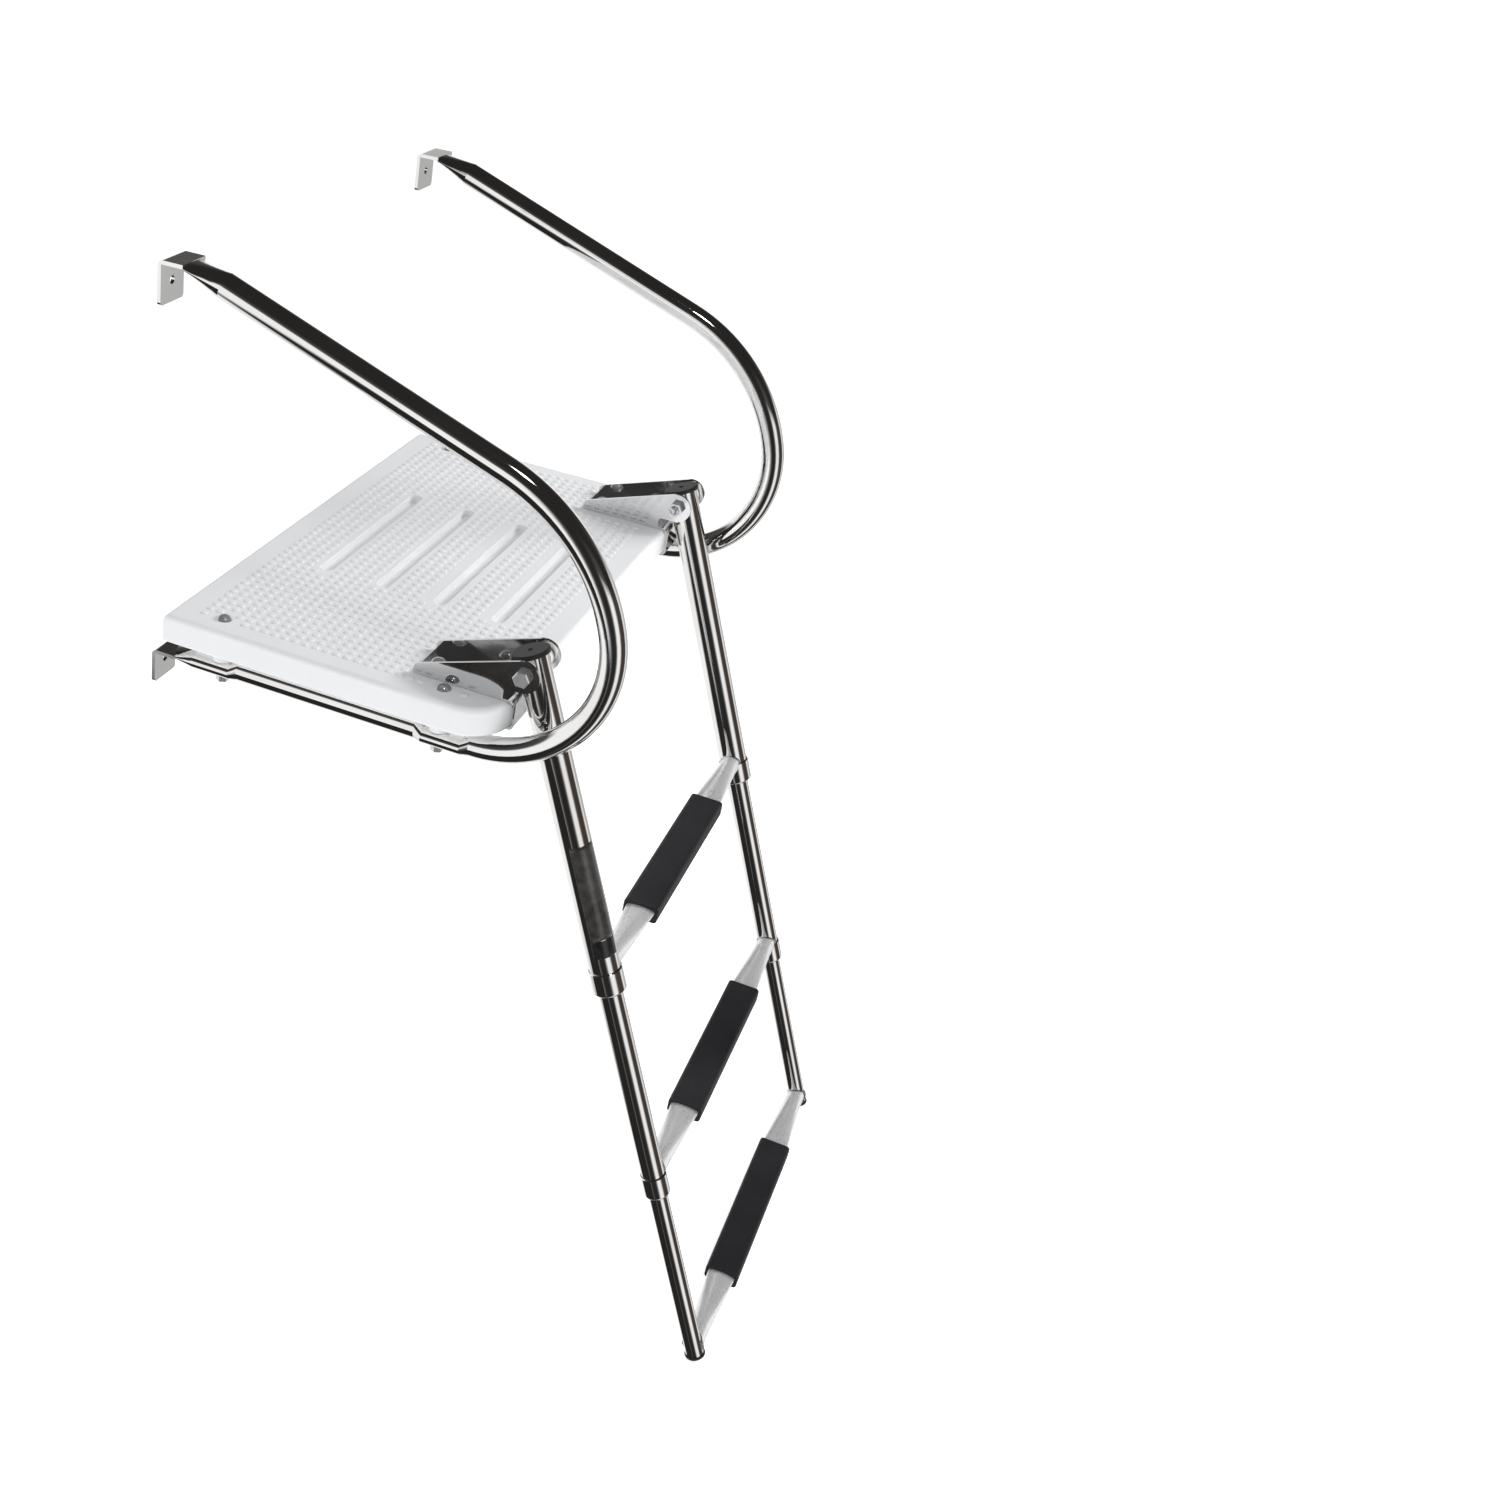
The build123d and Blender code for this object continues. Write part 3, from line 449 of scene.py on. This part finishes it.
def tape(name, shares, lift, half, thick, closed):
    """Tape along the strap's line between two shares of it, lifted off the first layer."""
    section = tape_section(half, thick)
    bm = bmesh.new()
    uv = bm.loops.layers.uv.new("UVMap")
    loops, lengths = [], []
    for k, s in enumerate(shares):
        x, z, nx, nz = strap_line(s)
        rib = 0.00006 * (1 if k % 2 else -1)
        loops.append([(x + nx * (lift + b * (1 + (rib / (thick / 2)))), STRAP_Y + a,
                       z + nz * (lift + b * (1 + (rib / (thick / 2))))) for a, b in section])
        lengths.append(s * STRAP_LENGTH * 1000)
    made = rings(bm, loops, closed=closed)
    where = {}
    for k, ring in enumerate(made):
        for (a, b), vert in zip(section, ring):
            where[vert] = (lengths[k], a * 1000)
    for face in bm.faces:
        spans = [where[loop.vert][0] for loop in face.loops]
        wrap = max(spans) - min(spans) > 60
        for loop in face.loops:
            u, v = where[loop.vert]
            loop[uv].uv = (u + STRAP_LENGTH * 1000 if wrap and u < 60 else u, v)
    return piece(name, bm, WEBBING, "platform")


count = 340
strap = tape("strap_webbing", [k / count for k in range(count)], 0.0, STRAP_W / 2, STRAP_T - 0.00016, True)
TAIL_START, TAIL_SHARE, TAIL_STEPS = 0.63, 0.30, 110
tail = tape("strap_tail", [TAIL_START + TAIL_SHARE * k / TAIL_STEPS for k in range(TAIL_STEPS + 1)],
            STRAP_T + 0.0001, STRAP_W / 2 - 0.0006, 0.0015, False)

ring = bmesh.new()
low_z = RAIL_Z - 0.030
section = 12
path = []
wide_y, wide_x, corner = STRAP_W / 2 + 0.0022, INNER + STRAP_T + 0.0036, 0.003
for side_x, side_y, start in ((1, 1, 0), (-1, 1, 90), (-1, -1, 180), (1, -1, 270)):
    for q in range(0, 91, 15):
        a = radians(start + q)
        path.append((RAIL_X + side_x * (wide_x - corner) + corner * cos(a),
                     STRAP_Y + side_y * (wide_y - corner) + corner * sin(a)))
loops = []
for k, (px, py) in enumerate(path):
    ax, ay = path[k - 1]
    bx, by = path[(k + 1) % len(path)]
    t = Vector((bx - ax, by - ay, 0)).normalized()
    n = Vector((t.y, -t.x, 0))
    loops.append([Vector((px, py, low_z)) + n * 0.0011 * cos(b) + Vector((0, 0, 0.0017)) * sin(b)
                  for b in [2 * pi * q / section for q in range(section)]])
rings(ring, loops, closed=True)
keeper = piece("strap_keeper", ring, PLASTIC, "platform")

stitches = bmesh.new()
for row in (-0.0085, 0.0085):
    for k in range(16):
        s0 = 0.66 + 0.0105 * k
        loops = []
        for q in range(5):
            x, z, nx, nz = strap_line(s0 + 0.0068 * q / 4)
            arch = STRAP_T / 2 + 0.00095 + 0.0008 + 0.00030 * sin(pi * q / 4)
            loops.append([(x + nx * (arch + 0.00016 * cos(b)), STRAP_Y + row + 0.00022 * sin(b),
                           z + nz * (arch + 0.00016 * cos(b))) for b in [2 * pi * p / 6 for p in range(6)]])
        rings(stitches, loops)
seams = piece("strap_stitches", stitches, WEBBING, "platform")
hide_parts("retaining_strap")

# ---------------------------------------------------------------- floor, light and camera
floor_z = CAD_BOX[0][2] - 0.0004
bm = bmesh.new()
bmesh.ops.create_grid(bm, x_segments=8, y_segments=8, size=40)
bmesh.ops.translate(bm, verts=bm.verts, vec=(0, 0, floor_z))
floor_mesh = bpy.data.meshes.new("studio_floor")
bm.to_mesh(floor_mesh)
bm.free()
floor = bpy.data.objects.new("studio_floor", floor_mesh)
bpy.context.scene.collection.objects.link(floor)
floor_look, g, shader = finish("studio_floor", Roughness=0.9, Emission_Strength=0.64)
shader.inputs["Emission Color"].default_value = (1, 1, 1, 1)
shader.inputs["Specular IOR Level"].default_value = 0.1
g.join(g.blend(g.noise(0.6, 2), (0.905, 0.907, 0.91), (0.915, 0.915, 0.915)), shader.inputs["Base Color"])
floor_mesh.materials.append(floor_look)
floor.visible_glossy = False

# reflections see light and dark studio sectors, other light is a soft even one, and the backdrop is white
world = bpy.data.worlds.new("studio")
bpy.context.scene.world = world
world.use_nodes = True
g = Graph(world.node_tree)
direction = g.add("ShaderNodeTexCoord").outputs["Generated"]
split = g.add("ShaderNodeSeparateXYZ")
g.join(direction, split.inputs[0])
dx, dy, dz = split.outputs
bearing = g.maths("ARCTAN2", g.maths("MULTIPLY", dy, -1.0), g.maths("MULTIPLY", dx, -1.0))
turn = g.maths("ADD", g.maths("DIVIDE", bearing, 2 * pi), 0.5)


def ramp(value, stops):
    """A colour ramp through (position, grey level or colour) stops."""
    node = g.add("ShaderNodeValToRGB")
    g.join(value, node.inputs[0])
    bar = node.color_ramp
    bar.elements[0].position, bar.elements[1].position = stops[0][0], stops[-1][0]
    for at, _ in stops[1:-1]:
        bar.elements.new(at)
    for element, (_, level) in zip(bar.elements, stops):
        element.color = (*level, 1) if isinstance(level, tuple) else (level, level, level, 1)
    return node.outputs[0]


def about(angle):
    """Share of a turn for a bearing: 0 is port, 90 aft, 180 starboard, -90 forward."""
    return (angle + 180) / 360


DARK, WARM, GREY, PALE = 0.022, (0.060, 0.046, 0.038), 0.5, 1.0
DIM = (0.11, 0.098, 0.09)
sides = ramp(turn, [(0.0, PALE), (about(-6), PALE), (about(6), DIM), (about(16), DARK), (about(38), DARK),
                    (about(46), DIM), (about(56), 0.95), (about(74), 0.95), (about(84), DIM),
                    (about(92), WARM), (about(114), WARM), (about(121), DIM), (about(130), PALE),
                    (about(144), GREY), (about(160), GREY), (about(174), PALE), (1.0, PALE)])
low_edge = ramp(turn, [(0.0, 0.0), (about(-104), 0.0), (about(-98), 0.10), (about(-75), 0.10),
                       (about(-24), 0.290), (about(2), 0.290), (about(10), 0.0), (1.0, 0.0)])
height = g.span(dz, -1, 1, 0, 1)
above_low = g.span(g.maths("SUBTRACT", height, low_edge), -0.018, 0.018, 0, 1)
under_high = ramp(height, [(0.0, 1.0), (0.575, 1.0), (0.640, 0.06), (0.80, 0.0), (1.0, 0.0)])
tall = g.maths("MULTIPLY", above_low, under_high)
mirror = g.add("ShaderNodeMix", data_type="RGBA")
g.join(tall, mirror.inputs[0])
mirror.inputs[6].default_value = (0.022, 0.020, 0.019, 1)
g.join(sides, mirror.inputs[7])
rays = g.add("ShaderNodeLightPath")
soft = g.add("ShaderNodeBackground", Strength=0.46)
soft.inputs[0].default_value = (0.98, 0.99, 1.0, 1)
clear = g.add("ShaderNodeBackground", Strength=1.0)
clear.inputs[0].default_value = (1, 1, 1, 1)
seen = g.add("ShaderNodeBackground", Strength=1.0)
g.join(mirror.outputs[2], seen.inputs[0])
first = g.add("ShaderNodeMixShader")
g.join(rays.outputs["Is Glossy Ray"], first.inputs[0])
g.join(soft.outputs[0], first.inputs[1])
g.join(seen.outputs[0], first.inputs[2])
second = g.add("ShaderNodeMixShader")
g.join(rays.outputs["Is Camera Ray"], second.inputs[0])
g.join(first.outputs[0], second.inputs[1])
g.join(clear.outputs[0], second.inputs[2])
g.join(second.outputs[0], g.add("ShaderNodeOutputWorld").inputs[0])


def softbox(name, place, aim, size, power, mirrored=False):
    """A square area light turned to a point."""
    data = bpy.data.lights.new(name, "AREA")
    data.shape, data.size, data.energy = "SQUARE", size, power
    lamp = bpy.data.objects.new(name, data)
    bpy.context.scene.collection.objects.link(lamp)
    away = Vector(place) - Vector(aim)
    lamp.matrix_world = Matrix.Translation(place) @ away.to_track_quat("Z", "Y").to_matrix().to_4x4()
    lamp.visible_glossy = mirrored
    return lamp


softbox("key", (1.3, -1.9, 1.15), (0, -0.2, -0.15), 0.9, 46)
softbox("fill", (-1.8, 0.9, 1.4), (0, -0.2, -0.2), 2.2, 12)
softbox("edge", (-1.2, -2.2, 0.3), (0, -0.3, -0.3), 1.0, 6)
softbox("sparkle", (-0.9, -0.9, 2.0), (0, -0.2, -0.1), 0.30, 3.0, True)

AZIMUTH, ELEVATION, ROLL = radians(-69.403), radians(31.803), radians(6.953)
back = Vector((sin(AZIMUTH) * cos(ELEVATION), -cos(AZIMUTH) * cos(ELEVATION), sin(ELEVATION)))
right = Vector((cos(AZIMUTH), sin(AZIMUTH), 0))
up = back.cross(right)
right, up = right * cos(ROLL) + up * sin(ROLL), up * cos(ROLL) - right * sin(ROLL)
lens = bpy.data.cameras.new("photo_view")
lens.sensor_width, lens.lens, lens.shift_x = 36.0, 41.53, 0.2
lens.clip_start, lens.clip_end = 0.02, 200
camera = bpy.data.objects.new("photo_view", lens)
bpy.context.scene.collection.objects.link(camera)
camera.matrix_world = Matrix(((right.x, up.x, back.x, -1.3529), (right.y, up.y, back.y, -0.6959),
                              (right.z, up.z, back.z, 0.5792), (0, 0, 0, 1)))
bpy.context.scene.camera = camera
bpy.context.scene.view_settings.view_transform = "Standard"
bpy.context.scene.view_settings.look = "None"
